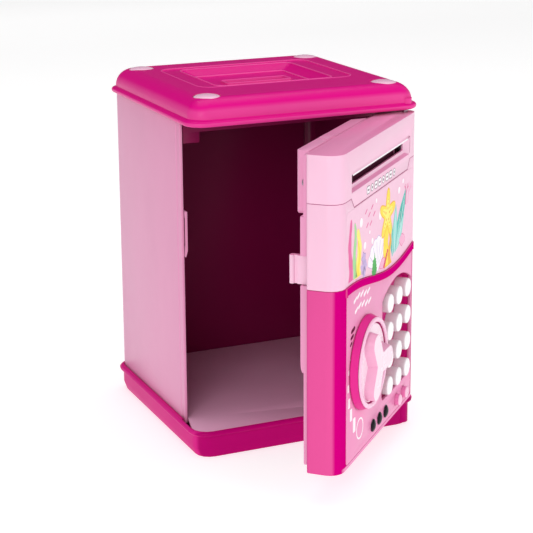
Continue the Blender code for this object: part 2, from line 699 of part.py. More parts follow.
def make_rear_cover(door):
    """Inner cover of the door: raised housings, the battery box, a note outlet and a grille."""
    low, high = COVER_Y
    left, right = COVER_X
    cover = plate("rear_cover", rounded_box(left, right, 18.2, 174.0, 1.5, steps=2), low, high, "Y")
    latch_housing = rounded_box(left, right, 63.6, 144.0, (7.0, 7.0, 0.5, 0.5), steps=4)
    join(cover, plate("latch_housing", latch_housing, low + 0.4, LATCH_REAR, "Y"))
    battery_box = rounded_box(-35.0, 30.0, 20.0, 62.0, 3.0, steps=3)
    join(cover, plate("battery_box", battery_box, low + 0.4, -39.9, "Y"))
    add_feed_housing(cover)
    hollow_out(cover, "latch_space", (left + 2, right - 2, 66.0, 141.0), LATCH_REAR - 1.8)
    hollow_out(cover, "battery_space", (-33.0, 28.0, 22.0, 60.0), -43.4)
    lid_pocket = rounded_box(-32.3, 27.3, 22.7, 59.3, 2.0, steps=2)
    cut(cover, plate("battery_lid_pocket", lid_pocket, -41.6, THROUGH_COVER[1], "Y"))
    pierce(cover, "note_outlet", rounded_box(-43.0, 45.0, 156.4, 161.9, 0.5, steps=1))
    notch = rounded_box(left - 2, -54.2, LATCH_Z[0] - 0.4, LATCH_Z[1] + 0.4, 0.5, steps=1)
    pierce(cover, "latch_notch", notch)
    for index in range(7):
        turn = math.radians(60.0 * index)
        reach = 0.0 if index == 6 else 5.0
        x, z = SPEAKER[0] + reach * math.cos(turn), SPEAKER[1] + reach * math.sin(turn)
        pierce(cover, f"grille_{index}", circle(x, z, 1.3, 10))
    for index, (x, z) in enumerate(SCREW_SPOTS):
        pierce(cover, f"cover_bore_{index}", circle(x, z, 1.6, 10))
    finish(cover, LIGHT_PINK, door)
    battery_cover = rounded_box(-32.0, 27.0, 23.0, 59.0, 1.8, steps=2)
    finish(plate("battery_cover", battery_cover, -41.3, -39.7, "Y"), LIGHT_PINK, door)


def make_cover_screws(door):
    for index, (x, z) in enumerate(SCREW_SPOTS):
        screw = turned(f"cover_screw_{index + 1}", (
            (0.0, 1.4), (1.6, 1.2), (2.4, 0.3), (1.2, 0.3), (1.2, -9.0), (0.0, -9.4)),
            (x, COVER_Y[1], z), (-90.0, 0.0, 0.0), steps=10)
        finish(screw, STEEL, door)


def make_latch(door):
    """Sliding latch: a nose and a shoulder behind the door, a bridge inside and a leg down to the cam."""
    inside = CAM_Y[0]
    latch = plate("latch", ((-57.0, inside), (-54.6, inside), (-54.6, -38.6), (-57.0, -38.6)), *LATCH_Z)
    join(latch, plate("latch_nose", rounded_box(-58.3, -54.6, -40.2, -37.6, 1.2, steps=3), *LATCH_Z))
    join(latch, plate("latch_shoulder", rounded_box(-57.8, -55.0, -47.2, -41.6, 0.5, steps=2), *LATCH_Z))
    bridge = ((-56.0, LATCH_Z[0] + 1.0), (-46.0, LATCH_Z[0] + 1.0), (-46.0, LATCH_Z[1] - 1.0),
              (-56.0, LATCH_Z[1] - 1.0))
    join(latch, plate("latch_bridge", bridge, *CAM_Y, "Y"))
    leg = rounded_box(-49.5, -45.0, 52.0, 120.0, 1.0, steps=1)
    join(latch, plate("latch_leg", leg, *CAM_Y, "Y"))
    finish(latch, LIGHT_PINK, door)


def make_feed(door):
    """Banknote feed: two geared rollers on a bracket, the motor with its gear, and the speaker."""
    ends = ((-46.0, 149.8), (-44.2, 149.8), (-44.2, 169.2), (44.2, 169.2), (44.2, 149.8), (46.0, 149.8),
            (46.0, 170.8), (-46.0, 170.8))
    bracket = plate("feed_bracket", ends, ROLLER_Y - 3.6, ROLLER_Y + 3.6, "Y")
    cut(bracket, rod("feed_bore", 1.8, -60.0, 60.0, (0.0, ROLLER_Y, FEED_Z), "X", 12))
    cut(bracket, rod("pinch_bore", 1.8, -60.0, 60.0, (0.0, ROLLER_Y, PINCH_Z), "X", 12))
    finish(bracket, WHITE, door)
    for name, z, radius in (("feed_roller", FEED_Z, 4.4), ("pinch_roller", PINCH_Z, 4.2)):
        roller = turned(name, (
            (0.0, 50.2), (4.5, 50.2), (4.5, 47.2), (1.5, 47.2), (1.5, 42.0), (radius, 42.0), (radius, -42.0),
            (1.5, -42.0), (1.5, -47.5), (0.0, -47.5)), (0.0, ROLLER_Y, z), (0.0, 90.0, 0.0), steps=16)
        finish(roller, RUBBER, door)
    gear = turned("motor_gear", (
        (0.0, 50.2), (6.3, 50.2), (6.3, 47.2), (1.0, 47.2), (1.0, 38.0), (0.0, 38.0)),
        (0.0, ROLLER_Y, MOTOR_Z), (0.0, 90.0, 0.0), steps=20)
    finish(gear, WHITE, door)
    motor = turned("feed_motor", (
        (1.3, 46.0), (2.6, 46.0), (2.6, 44.4), (5.9, 44.4), (5.9, 20.0), (1.3, 20.0)),
        (0.0, ROLLER_Y, MOTOR_Z), (0.0, 90.0, 0.0), True, 16)
    finish(motor, STEEL, door)
    speaker = turned("speaker", (
        (0.0, 5.6), (11.4, 5.6), (12.0, 5.0), (12.0, 2.0), (7.0, 0.0), (0.0, 0.0)),
        (SPEAKER[0], -52.2, SPEAKER[1]), (-90.0, 0.0, 0.0))
    finish(speaker, BLACK, door)


def make_hinge_pins(door):
    for name, low, high in (("hinge_pin_top", 166.0, 181.0), ("hinge_pin_bottom", 7.4, 23.6)):
        finish(rod(name, PIN_RADIUS, low, high, (*HINGE, 0.0), steps=14), STEEL, door)


def make_door():
    door = pivot("door_hinge_axis", (*HINGE, 0.0))
    make_top_fascia(door)
    make_middle_fascia(door)
    make_lower_shell(door)
    make_control_panel(door)
    make_keypad(door)
    make_dial(door)
    make_buttons(door)
    make_rear_cover(door)
    make_cover_screws(door)
    make_latch(door)
    make_feed(door)
    make_hinge_pins(door)
    door.rotation_euler = Euler((0.0, 0.0, math.radians(DOOR_OPEN_DEG)))


make_base()
make_floor()
make_base_screws()
make_walls()
make_lid()
make_top_frame()
make_door()
bpy.context.view_layer.update()
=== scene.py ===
"""Looks of the toy safe coin bank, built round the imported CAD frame.

Lengths are millimetres, and MM scales them to metres. HINGE_AT, the lights and the shaders' distances
are metres, as in the frame.
Pieces of the door are drawn as if it were shut and then carried to the rest pose by SWING.
On the door, heights stand above its front face and places are (x, z) on that face.
The camera is the photograph's. Its place, turn and focal length were solved from the photograph's edges.
"""
import json
import math

import bmesh
import bpy
from mathutils import Matrix, Vector
from mathutils.geometry import convex_hull_2d


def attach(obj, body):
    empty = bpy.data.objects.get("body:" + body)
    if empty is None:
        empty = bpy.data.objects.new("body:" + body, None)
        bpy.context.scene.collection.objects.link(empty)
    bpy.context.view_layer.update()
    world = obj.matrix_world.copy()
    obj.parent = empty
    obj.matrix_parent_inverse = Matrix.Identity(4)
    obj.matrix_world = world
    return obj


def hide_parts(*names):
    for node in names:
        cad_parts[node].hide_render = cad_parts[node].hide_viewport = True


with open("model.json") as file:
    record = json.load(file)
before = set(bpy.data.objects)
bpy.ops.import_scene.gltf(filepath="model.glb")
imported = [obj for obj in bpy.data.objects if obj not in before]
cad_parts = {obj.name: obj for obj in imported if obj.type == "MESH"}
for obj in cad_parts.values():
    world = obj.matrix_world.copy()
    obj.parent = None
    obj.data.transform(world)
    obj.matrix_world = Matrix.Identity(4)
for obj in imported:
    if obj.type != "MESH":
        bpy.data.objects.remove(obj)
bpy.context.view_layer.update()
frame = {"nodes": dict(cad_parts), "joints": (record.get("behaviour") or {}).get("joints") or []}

MM = 0.001

# ---------------------------------------------------------------- the door's place

hinge = next(joint for joint in frame["joints"] if joint["name"] == "door_hinge")
HINGE_AT = Vector((hinge["pos_m"][0], hinge["pos_m"][1], 0.0))
OPEN_ANGLE = math.radians(-hinge["range_deg"][0])
SWING = Matrix.Translation(HINGE_AT) @ Matrix.Rotation(OPEN_ANGLE, 4, "Z") @ Matrix.Translation(-HINGE_AT)
UP = Vector((0.0, 0.0, 1.0))
TO_BACK = Vector((0.0, 1.0, 0.0))
TO_FRONT = Vector((0.0, -1.0, 0.0))


def extent(node, shut=False):
    """Lowest and highest corners of a CAD node in millimetres, with the door shut if asked."""
    turn = SWING.inverted() if shut else Matrix.Identity(4)
    points = [turn @ vertex.co / MM for vertex in frame["nodes"][node].data.vertices]
    low = Vector([min(point[axis] for point in points) for axis in range(3)])
    high = Vector([max(point[axis] for point in points) for axis in range(3)])
    return low, high


def middle(node):
    """Centre of a door node, door shut, as (x, z) on the front face."""
    low, high = extent(node, True)
    return (0.5 * (low.x + high.x), 0.5 * (low.z + high.z))


LID_LOW, LID_HIGH = extent("lid")
SHELL_LOW, SHELL_HIGH = extent("door_middle_fascia", True)
FRONT = SHELL_LOW.y
FREE_END = SHELL_LOW.x
FACING = SWING.to_3x3() @ TO_FRONT
PANEL_FOOT = extent("control_panel")[0].z


# ---------------------------------------------------------------- materials

MIX_FACTOR, MIX_FIRST, MIX_SECOND, MIX_RESULT = 0, 6, 7, 2
PLASTIC_IOR = 1.46


def linear(red, green, blue):
    """Screen colour, 0-255, as linear values with alpha."""
    return (*[(value / 255.0) ** 2.2 for value in (red, green, blue)], 1.0)


class Material:
    """A small wrapper that adds and joins shader nodes."""

    def __init__(self, name):
        self.data = bpy.data.materials.new(name)
        self.data.use_nodes = True
        self.tree = self.data.node_tree
        self.shader = self.tree.nodes["Principled BSDF"]
        lookup = self.add("ShaderNodeTexCoord")
        self.place = lookup.outputs["Object"]
        self.normal = lookup.outputs["Normal"]

    def add(self, kind, **settings):
        """Adds a node and sets its properties."""
        node = self.tree.nodes.new(kind)
        for key, value in settings.items():
            setattr(node, key, value)
        return node

    def join(self, source, target):
        self.tree.links.new(source, target)

    def noise(self, scale, detail=3.0, roughness=0.5, stretch=None):
        """Noise over the object's own space, in features per metre."""
        node = self.add("ShaderNodeTexNoise")
        node.inputs["Scale"].default_value = scale
        node.inputs["Detail"].default_value = detail
        node.inputs["Roughness"].default_value = roughness
        source = self.place
        if stretch:
            mapping = self.add("ShaderNodeMapping")
            mapping.inputs["Scale"].default_value = stretch
            self.join(self.place, mapping.inputs["Vector"])
            source = mapping.outputs["Vector"]
        self.join(source, node.inputs["Vector"])
        return node.outputs["Fac"]

    def spread(self, source, low, high, start=0.3, end=0.7):
        """Maps a value from start..end to low..high."""
        node = self.add("ShaderNodeMapRange")
        node.inputs["From Min"].default_value = start
        node.inputs["From Max"].default_value = end
        node.inputs["To Min"].default_value = low
        node.inputs["To Max"].default_value = high
        self.join(source, node.inputs["Value"])
        return node.outputs["Result"]

    def blend(self, factor, first, second):
        """Mix of two colours."""
        node = self.add("ShaderNodeMix", data_type="RGBA")
        for socket, value in ((MIX_FIRST, first), (MIX_SECOND, second)):
            if isinstance(value, tuple):
                node.inputs[socket].default_value = value
            else:
                self.join(value, node.inputs[socket])
        self.join(factor, node.inputs[MIX_FACTOR])
        return node.outputs[MIX_RESULT]

    def bump(self, *layers):
        """Stacked bumps: (height, strength, distance in metres)."""
        normal = None
        for height, strength, distance in layers:
            node = self.add("ShaderNodeBump")
            node.inputs["Strength"].default_value = strength
            node.inputs["Distance"].default_value = distance
            self.join(height, node.inputs["Height"])
            if normal:
                self.join(normal, node.inputs["Normal"])
            normal = node.outputs["Normal"]
        self.join(normal, self.shader.inputs["Normal"])


def shade(colour, factor):
    """A colour made darker or lighter."""
    return (*[min(1.0, value * factor) for value in colour[:3]], 1.0)


def inward(material):
    """One on faces that look towards the box's upright axis, zero elsewhere; it masks the painted shade on
    the walls' inner faces.
    """
    flat_place = material.add("ShaderNodeVectorMath", operation="MULTIPLY")
    material.join(material.place, flat_place.inputs[0])
    flat_place.inputs[1].default_value = (1.0, 1.0, 0.0)
    product = material.add("ShaderNodeVectorMath", operation="DOT_PRODUCT")
    material.join(material.normal, product.inputs[0])
    material.join(flat_place.outputs["Vector"], product.inputs[1])
    return material.spread(product.outputs["Value"], 0.0, 1.0, -0.02, -0.04)


def facing(material, direction, start=0.4):
    """One on faces that look in one direction, zero elsewhere; start is the cosine where it begins."""
    product = material.add("ShaderNodeVectorMath", operation="DOT_PRODUCT")
    material.join(material.normal, product.inputs[0])
    product.inputs[1].default_value = direction
    return material.spread(product.outputs["Value"], 0.0, 1.0, start, min(start + 0.2, 0.99))


def below(material, height):
    """One on forward faces of the door lower than a height, zero elsewhere."""
    place = material.add("ShaderNodeSeparateXYZ")
    material.join(material.place, place.inputs[0])
    low = material.spread(place.outputs["Z"], 1.0, 0.0, (height - 0.2) * MM, height * MM)
    product = material.add("ShaderNodeMath", operation="MULTIPLY")
    material.join(low, product.inputs[0])
    material.join(facing(material, FACING, 0.9), product.inputs[1])
    return product.outputs[0]


def plastic(name, colour, gloss=0.26, spread=0.02, glow=0.0, coat=0.0, grain=0.03, level=0.3, **sides):
    """Moulded plastic: faint flow marks in the colour, slightly uneven gloss and a fine orange peel.

    Sides may give another colour to the faces that look inward, above, back or ahead from the box,
    or front from the open door, which paints light and shade by face direction, and to the foot of the door
    below its control panel.
    """
    material = Material(name)
    flow = material.noise(38.0, 4.0, 0.55, (1.0, 1.0, 0.45))
    pale, dark = shade(colour, 1.0 + spread), shade(colour, 1.0 - spread)
    tint = material.blend(material.spread(flow, 0.0, 1.0), dark, pale)
    dust = material.spread(material.noise(900.0, 2.0), 0.0, 0.12, 0.52, 0.74)
    tint = material.blend(dust, tint, shade(colour, 1.0 - 2.0 * spread))
    # The face-direction tints below paint light and shade into the colour; the foot tint is plain colour.
    if "inward" in sides:
        tint = material.blend(inward(material), tint, sides["inward"])
    for side, direction in (("above", UP), ("front", FACING), ("back", TO_BACK), ("ahead", TO_FRONT)):
        if side in sides:
            tint = material.blend(facing(material, direction), tint, sides[side])
    if "foot" in sides:
        tint = material.blend(below(material, PANEL_FOOT), tint, sides["foot"])
    material.join(tint, material.shader.inputs["Base Color"])
    uneven = material.spread(material.noise(120.0, 5.0, 0.6), gloss - 0.02, gloss + 0.03)
    material.join(uneven, material.shader.inputs["Roughness"])
    peel = material.noise(520.0, 2.0)
    scuffs = material.noise(1600.0, 3.0, 0.6, (1.0, 0.12, 1.0))
    material.bump((peel, grain, 0.0001), (scuffs, 0.5 * grain, 0.00004))
    material.shader.inputs["IOR"].default_value = PLASTIC_IOR
    material.shader.inputs["Specular IOR Level"].default_value = level
    material.shader.inputs["Coat Weight"].default_value = coat
    material.shader.inputs["Coat Roughness"].default_value = 0.08
    if glow:
        material.shader.inputs["Subsurface Weight"].default_value = glow
        material.shader.inputs["Subsurface Radius"].default_value = (0.004, 0.002, 0.0025)
        material.shader.inputs["Subsurface Scale"].default_value = 0.6
    return material.data


def print_ink(name, colour, roughness=0.42):
    """Printed ink: a faint dot screen and slightly uneven cover."""
    material = Material(name)
    dots = material.add("ShaderNodeTexVoronoi")
    dots.inputs["Scale"].default_value = 2600.0
    material.join(material.place, dots.inputs["Vector"])
    screen = material.spread(dots.outputs["Distance"], 0.0, 0.16, 0.2, 0.7)
    tint = material.blend(screen, colour, shade(colour, 1.12))
    patchy = material.spread(material.noise(150.0, 4.0), 0.0, 0.35)
    material.join(material.blend(patchy, tint, shade(colour, 0.94)), material.shader.inputs["Base Color"])
    material.join(material.spread(material.noise(300.0), roughness - 0.06, roughness + 0.08),
                  material.shader.inputs["Roughness"])
    material.shader.inputs["Specular IOR Level"].default_value = 0.2
    return material.data


def metal(name, colour, roughness=0.3):
    """Turned steel: fine lines and a little tarnish."""
    material = Material(name)
    lines = material.noise(2400.0, 2.0, 0.5, (1.0, 1.0, 6.0))
    tint = material.blend(material.spread(material.noise(260.0), 0.0, 0.5), colour, shade(colour, 0.6))
    material.join(tint, material.shader.inputs["Base Color"])
    uneven = material.spread(lines, roughness - 0.1, roughness + 0.12)
    material.join(uneven, material.shader.inputs["Roughness"])
    material.bump((lines, 0.2, 0.00004))
    material.shader.inputs["Metallic"].default_value = 1.0
    return material.data


def circuit(name):
    """Circuit board: green resist over a net of copper tracks."""
    material = Material(name)
    cells = material.add("ShaderNodeTexVoronoi", feature="DISTANCE_TO_EDGE")
    cells.inputs["Scale"].default_value = 260.0
    material.join(material.place, cells.inputs["Vector"])
    tracks = material.spread(cells.outputs["Distance"], 1.0, 0.0, 0.05, 0.09)
    tint = material.blend(tracks, linear(22, 92, 52), linear(74, 150, 84))
    material.join(tint, material.shader.inputs["Base Color"])
    material.join(material.spread(tracks, 0.3, 0.45, 0.0, 1.0), material.shader.inputs["Roughness"])
    material.bump((tracks, 0.4, 0.00008))
    return material.data


RIM_COLOUR = linear(204, 4, 122)
# The dark colour below is painted shade: it stands for the shade inside the box and colours faces that lie
# in it.
INSIDE_SHADE = linear(118, 12, 66)

# Painted sheen: faces that don't look up get a paler magenta than the upward faces, which show the saturated
# magenta.
MAGENTA = plastic("magenta_plastic", linear(226, 62, 144), 0.3, above=linear(222, 2, 132), level=0.16)
# Painted light by face direction: faces that look front from the open door get the deeper rim magenta, the
# other faces a paler magenta that paints sheen.
MAGENTA_DOOR = plastic("magenta_door_plastic", linear(224, 84, 150), 0.34, front=RIM_COLOUR, level=0.0,
                       foot=linear(240, 160, 200))
# Painted shade: the base's faces that look ahead, out of the front, get a darker magenta.
MAGENTA_BASE = plastic("magenta_base_plastic", linear(216, 40, 134), 0.34, ahead=linear(176, 8, 104),
                       level=0.04)
# Painted highlight: this paler magenta colours the lid's raised lines and the slot's lip for the light their
# edges catch.
EDGE = plastic("magenta_edge_highlight", linear(240, 92, 172), 0.3)
BEZEL = plastic("bezel_plastic", linear(222, 50, 142), 0.28, level=0.1)
RIM = plastic("tray_magenta_plastic", RIM_COLOUR, 0.3)
# Painted shade: the frame under the lid, magenta plastic, is given the dark inside shade colour.
SHADED_FRAME = plastic("deep_magenta_plastic", INSIDE_SHADE, 0.4)
# Painted shade: the back panel's inner faces get the dark inside shade colour; faces that look back get its
# magenta.
BACK = plastic("back_magenta_plastic", INSIDE_SHADE, 0.36, back=linear(216, 24, 130))
# Painted shade: the side panels' faces that look inward get the dark inside shade colour instead of their
# pink.
WALL_PINK = plastic("wall_pink_plastic", linear(226, 152, 188), 0.34, inward=INSIDE_SHADE)
FLOOR_PINK = plastic("floor_pink_plastic", linear(246, 184, 216), 0.36)
# Painted shade: the door's faces that look up get a deeper pink than its front.
DOOR_PINK = plastic("door_pink_plastic", linear(242, 192, 216), 0.32, glow=0.05, above=linear(234, 146, 188))
REAR_PINK = plastic("rear_pink_plastic", linear(230, 152, 190), 0.32)
PANEL = plastic("panel_pink_plastic", linear(236, 146, 190), 0.32, level=0.2)
# Painted light: the buttons' faces that look front from the open door are paler than their sides, lit and
# shaded tones of one pink.
BUTTON = plastic("button_pink_plastic", linear(232, 122, 178), 0.28, front=linear(250, 196, 222))
PALE = plastic("pale_pink_plastic", linear(248, 196, 222), 0.26, glow=0.08)
# Painted light: the knob's faces that look front get a pale lit colour, its other faces a darker shaded
# colour of the same plastic.
KNOB_LIT_TOP = plastic("knob_lit_top_plastic", linear(250, 222, 236), 0.26)
KNOB_SHADED_SIDE = plastic("knob_shaded_side_plastic", linear(238, 170, 202), 0.3)
# Painted shade: the white plastic's faces other than those that look front from the open door are greyer
# than its near-white fronts.
WHITE = plastic("white_plastic", linear(228, 220, 224), 0.26, 0.01, glow=0.05, front=linear(252, 250, 252))
BLACK = plastic("black_lens_plastic", linear(22, 18, 26), 0.2, 0.1, coat=0.12, level=0.1)
RUBBER = plastic("rubber", linear(92, 88, 94), 0.7, 0.06, grain=0.3)
ROLLER = plastic("roller_rubber", linear(92, 22, 58), 0.7, 0.06, grain=0.3)
STEEL = metal("steel", linear(168, 160, 168))
BOARD = circuit("circuit_board")
LABEL_BASE = print_ink("label_paper", linear(244, 198, 220))
INK_COLOURS = {
    "white": (253, 246, 251),
    "rose": (229, 96, 158),
    "blush": (246, 178, 210),
    "red": (228, 70, 98),
    "yellow": (250, 224, 66),
    "lemon": (250, 240, 120),
    "amber": (244, 176, 50),
    "green": (70, 176, 82),
    "mint": (160, 220, 150),
    "teal": (74, 190, 180),
    "aqua": (150, 222, 214),
    "lilac": (200, 176, 222),
    "plum": (140, 84, 160),
    "dark": (84, 8, 46),
    "grey": (112, 92, 104),
}
INKS = {ink: print_ink(f"ink_{ink}", linear(*colour)) for ink, colour in INK_COLOURS.items()}
# Painted shadow: the ink of the dark seam lines and band.
INKS["seam"] = print_ink("seam_shadow", linear(160, 70, 114))


# ---------------------------------------------------------------- shape helpers

def rounded_box(x_low, x_high, y_low, y_high, radii, steps=8):
    """Outline of a box with corners of the given radii, counter-clockwise from low x, low y."""
    if not isinstance(radii, tuple):
        radii = (radii,) * 4
    corners = ((x_low, y_low, 1, 1, 180), (x_high, y_low, -1, 1, 270),
               (x_high, y_high, -1, -1, 0), (x_low, y_high, 1, -1, 90))
    points = []
    for (x, y, side_x, side_y, start), radius in zip(corners, radii):
        centre = (x + side_x * radius, y + side_y * radius)
        for step in range(steps + 1):
            angle = math.radians(start + 90.0 * step / steps)
            points.append((centre[0] + radius * math.cos(angle), centre[1] + radius * math.sin(angle)))
    return points


def turns(count):
    """Equal angles round a full circle."""
    return [2.0 * math.pi * index / count for index in range(count)]


def circle(x, y, radius, count=32):
    """Points of a circle, counter-clockwise from its right."""
    return [(x + radius * math.cos(turn), y + radius * math.sin(turn)) for turn in turns(count)]


def make_mesh(name, work):
    """Finishes a bmesh as an object at the origin."""
    bmesh.ops.recalc_face_normals(work, faces=work.faces)
    mesh = bpy.data.meshes.new(name)
    work.to_mesh(mesh)
    work.free()
    item = bpy.data.objects.new(name, mesh)
    bpy.context.scene.collection.objects.link(item)
    return item


def loft_points(name, rings, closed_tube=False):
    """Closed body through rings of points with equal counts, capped at both ends or closed on itself."""
    work = bmesh.new()
    loops = [[work.verts.new(Vector(point) * MM) for point in ring] for ring in rings]
    pairs = list(zip(loops, loops[1:]))
    if closed_tube:
        pairs.append((loops[-1], loops[0]))
    for lower, upper in pairs:
        for index in range(len(lower)):
            work.faces.new((lower[index - 1], lower[index], upper[index], upper[index - 1]))
    if not closed_tube:
        work.faces.new(list(reversed(loops[0])))
        work.faces.new(loops[-1])
    return make_mesh(name, work)


def loft(name, rings, steps=10):
    """Upright loft through rounded boxes (z, x low, x high, y low, y high, corner radius)."""
    stack = []
    for z, x_low, x_high, y_low, y_high, radius in rings:
        stack.append([(x, y, z) for x, y in rounded_box(x_low, x_high, y_low, y_high, radius, steps)])
    return loft_points(name, stack)


def prism(name, outline, low, high):
    """Upright prism of an XY outline."""
    return loft_points(name, [[(x, y, height) for x, y in outline] for height in (low, high)])


def front_prism(name, outline, low, high):
    """Prism of an XZ outline on the shut door, between two heights above its front face."""
    return loft_points(name, [[(x, FRONT - height, z) for x, z in outline] for height in (low, high)])


def lathe(name, profile, spot, steps=48, ring=False):
    """Turned piece on the shut door: (radius, height) points, spun about a line along -Y."""
    rings = [[(spot[0] + radius * math.cos(turn), FRONT - height, spot[1] + radius * math.sin(turn))
              for radius, height in profile] for turn in turns(steps)]
    return spin_rings(name, rings, ring)


def upright_lathe(name, profile, spot, steps=48):
    """Turned piece about a vertical line: (radius, z) points."""
    rings = [[(spot[0] + radius * math.cos(turn), spot[1] + radius * math.sin(turn), height)
              for radius, height in profile] for turn in turns(steps)]
    return spin_rings(name, rings, False)


def spin_rings(name, rings, ring):
    """Joins spun copies of a profile, closed on itself for a ring; points on the axis become one."""
    work = bmesh.new()
    loops = [[work.verts.new(Vector(point) * MM) for point in line] for line in rings]
    count = len(loops[0])
    last = count if ring else count - 1
    for index in range(len(loops)):
        first, second = loops[index - 1], loops[index]
        for step in range(last):
            after = (step + 1) % count
            work.faces.new((first[step], second[step], second[after], first[after]))
    bmesh.ops.remove_doubles(work, verts=work.verts, dist=1e-6)
    return make_mesh(name, work)


def arc(x, y, radius, start, end, count):
    """Points of an arc about (x, y), from one angle to another in degrees."""
    points = []
    for step in range(count + 1):
        angle = math.radians(start + (end - start) * step / count)
        points.append((x + radius * math.cos(angle), y + radius * math.sin(angle)))
    return points


def carve(item, operation, tools):
    """Applies Booleans and removes their tools."""
    for tool in tools:
        step = item.modifiers.new("shape", "BOOLEAN")
        step.operation = operation
        step.solver = "EXACT"
        step.object = tool
    apply_modifiers(item)
    for tool in tools:
        bpy.data.objects.remove(tool)


def apply_modifiers(item):
    """Puts the shape with its modifiers applied in place of the mesh."""
    bpy.context.view_layer.update()
    flat = item.evaluated_get(bpy.context.evaluated_depsgraph_get())
    mesh = bpy.data.meshes.new_from_object(flat)
    item.modifiers.clear()
    item.data = mesh


def round_edges(item, width, segments=3, angle=30.0):
    """Rounds sharp edges and keeps the flats flat."""
    bevel = item.modifiers.new("round", "BEVEL")
    bevel.width = width * MM
    bevel.segments = segments
    bevel.limit_method = "ANGLE"
    bevel.angle_limit = math.radians(angle)


def smooth(item, angle=35.0):
    """Smooth shading, with edges sharper than the angle left sharp."""
    item.data.shade_smooth()
    item.data.set_sharp_from_angle(angle=math.radians(angle))


def dress(item, material, body, nodes=(), angle=35.0):
    """Gives a new piece its material and smooth shading, hangs it on its body and hides the CAD nodes it
    replaces.
    """
    item.data.materials.clear()
    item.data.materials.append(material)
    smooth(item, angle)
    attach(item, body)
    if nodes:
        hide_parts(*nodes)


def swing(item):
    """Carries a piece drawn on the shut door to the rest pose."""
    item.data.transform(SWING)
    return item


# Facets that meet at less than this many degrees are merged.
FLAT_ANGLE = 0.6


def upgrade(node, material, bevel=0.0):
    """Keeps a CAD node: a material is assigned and, for a bevel, flat facets merged and edges rounded."""
    item = frame["nodes"][node]
    item.data.materials.clear()
    item.data.materials.append(material)
    if bevel:
        merge = item.modifiers.new("merge", "WELD")
        merge.merge_threshold = 0.01 * MM
        flats = item.modifiers.new("flats", "DECIMATE")
        flats.decimate_type = "DISSOLVE"
        flats.angle_limit = math.radians(FLAT_ANGLE)
        round_edges(item, bevel, 2, 40.0)
    smooth(item)


# ---------------------------------------------------------------- box

# The lid's top as (x low, x high, y low, y high): its step, the tray sunk in it and the coin slot's frame.
STEP_BOX = (-45.0, 45.0, -28.0, 39.8)
TRAY_BOX = (-33.8, 33.0, -24.0, 34.2)
SLOT_BOX = (-20.0, 19.0, -2.6, 8.8)
COIN_SLOT = (-17.0, 16.0, 0.4, 5.8)
STUD_RADIUS = 7.0
STUD_POCKET = 7.3
STUD_PAD = 8.6
LID_BEAD = 1.5
LID_SHOULDER = 9.5
HINGE_BOSS_TOP = 182.4
PIN_HOLE_TOP = 181.4
HINGE_SPOT = (HINGE_AT.x / MM, HINGE_AT.y / MM)


def centred(z, half_x, half_y, radius):
    """A loft ring about the middle of the box."""
    return (z, -half_x, half_x, -half_y, half_y, radius)


def inset(box, width):
    """A box (x low, x high, y low, y high) drawn in by some width."""
    return (box[0] + width, box[1] - width, box[2] + width, box[3] - width)


def make_lid():
    """Lid: rolled bead, soft shoulder, a stepped tray round the coin slot and four stud pockets."""
    half_x, half_y = LID_HIGH.x, LID_HIGH.y
    low, high = LID_LOW.z, LID_HIGH.z
    side_x, side_y = half_x - 2.2, half_y - 2.2
    roof, tray = high - 2.8, high - 4.2
    rings = [(tray - 2.2, -28.0, 27.2, -18.2, 29.0, 3.0), (roof, -35.0, 34.2, -25.2, 35.4, 4.4),
             centred(roof, 55.6, 54.6, 5.0), centred(roof - 1.6, 58.9, 57.9, 6.0),
             centred(roof - 4.0, 60.6, 59.6, 7.0), centred(low, 61.6, 60.6, 8.0)]
    for grow, height in arc(-LID_BEAD, low + LID_BEAD, LID_BEAD, -90.0, 75.0, 9):
        rings.append(centred(height, half_x + grow, half_y + grow, 10.4 + 0.8 * grow))
    rings += [centred(low + 3.2, side_x + 0.35, side_y + 0.35, 9.4), centred(low + 3.7, side_x, side_y, 9.2)]
    for shrink, height in arc(-LID_SHOULDER, high - LID_SHOULDER, LID_SHOULDER, 0.0, 90.0, 12):
        rings.append(centred(height, side_x + shrink, side_y + shrink, 9.2 + 0.6 * shrink))
    rings += [(high, *STEP_BOX, 8.0), (high - 0.5, *inset(STEP_BOX, 0.8), 7.4),
              (high - 0.5, *inset(TRAY_BOX, -0.6), 5.4), (high - 0.8, *TRAY_BOX, 5.0),
              (high - 1.4, *inset(TRAY_BOX, 0.6), 4.6), (tray + 0.5, *inset(TRAY_BOX, 6.2), 2.6),
              (tray, *inset(TRAY_BOX, 7.2), 2.0)]
    lid = loft("lid_shell", rings)
    carve(lid, "UNION", [upright_prism(spot, STUD_PAD, high - 8.4, roof + 0.2) for spot in stud_spots()])
    carve(lid, "UNION", [upright_prism(HINGE_SPOT, 3.4, low + 0.1, HINGE_BOSS_TOP)])
    tools = [upright_prism(spot, STUD_POCKET, high - 4.8, high + 5.0) for spot in stud_spots()]
    tools.append(prism("slot_tool", rounded_box(*COIN_SLOT, 0.8, 4), 180.0, 195.0))
    tools.append(upright_prism(HINGE_SPOT, 1.8, 170.0, PIN_HOLE_TOP))
    carve(lid, "DIFFERENCE", tools)
    round_edges(lid, 0.25, 2, 50.0)
    dress(lid, MAGENTA, "cabinet", ["lid"], 24.0)
    # The raised lines are coloured with the painted highlight magenta, except the slot's frame.
    make_bead("lid_line_outer", STEP_BOX, 8.0, high, 0.2)
    make_bead("lid_line_tray", inset(TRAY_BOX, -0.9), 5.6, high - 0.5, 0.4)
    make_bead("lid_line_floor", inset(TRAY_BOX, 6.2), 2.4, tray + 0.4, 0.5)
    make_bead("slot_frame", SLOT_BOX, 2.0, tray, 0.9, 2.0, MAGENTA)
    make_bead("slot_lip", inset(SLOT_BOX, 0.4), 1.8, tray + 0.7, 0.5)


